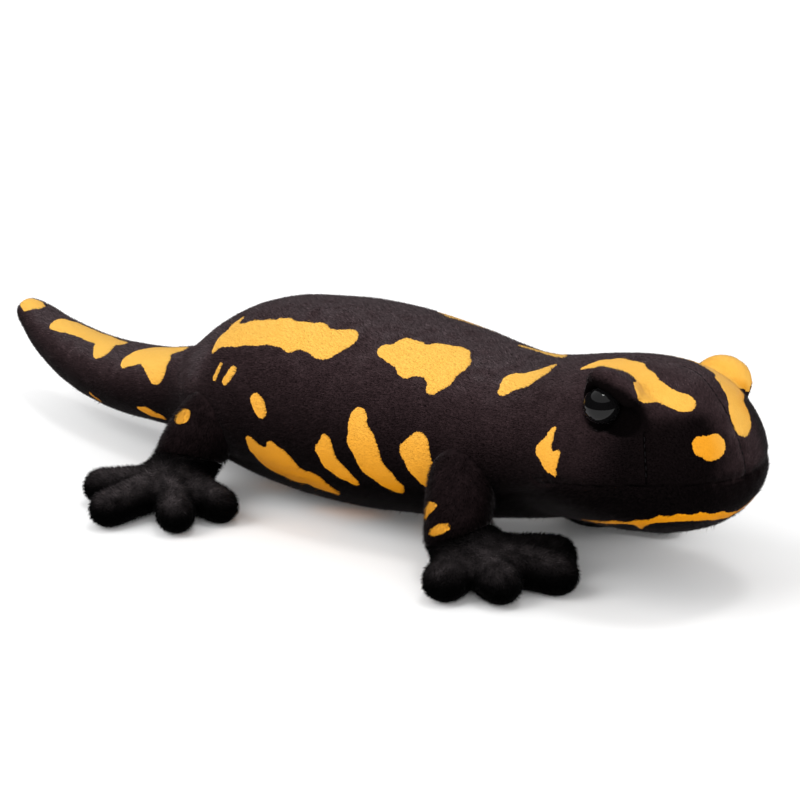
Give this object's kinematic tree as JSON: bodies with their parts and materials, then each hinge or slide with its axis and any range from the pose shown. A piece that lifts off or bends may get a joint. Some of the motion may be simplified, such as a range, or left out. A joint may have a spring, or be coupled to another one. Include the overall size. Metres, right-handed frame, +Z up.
{
  "type": "stuffed toy fire salamander",
  "caption": "Stuffed plush salamander, black with yellow patches, standing on splayed feet, with glossy plastic eyes in raised lids, a broad blunt head and a tail curving up and aside.",
  "frame": {"origin": "on the floor, under the middle of the toy's bounding box", "axes": "+X runs toward the head, +Y is the toy's own left, +Z is up"},
  "size_m": [0.3633, 0.1628, 0.0813],
  "materials": {
    "body_plush": "short black pile printed with yellow patches",
    "foot_plush": "longer plain black pile",
    "eye_plastic": "polished black"
  },
  "bodies": {
    "root": {"head": "body_plush", "lower_jaw": "body_plush", "lid_right": "body_plush", "lid_left": "body_plush", "neck": "body_plush", "trunk": "body_plush", "tail": "body_plush", "front_leg_right": "body_plush", "front_leg_left": "body_plush", "hind_leg_right": "body_plush", "hind_leg_left": "body_plush", "front_foot_right": "foot_plush", "front_foot_left": "foot_plush", "hind_foot_right": "foot_plush", "hind_foot_left": "foot_plush", "eye_right": "eye_plastic", "eye_left": "eye_plastic"}
  },
  "joints": []
}
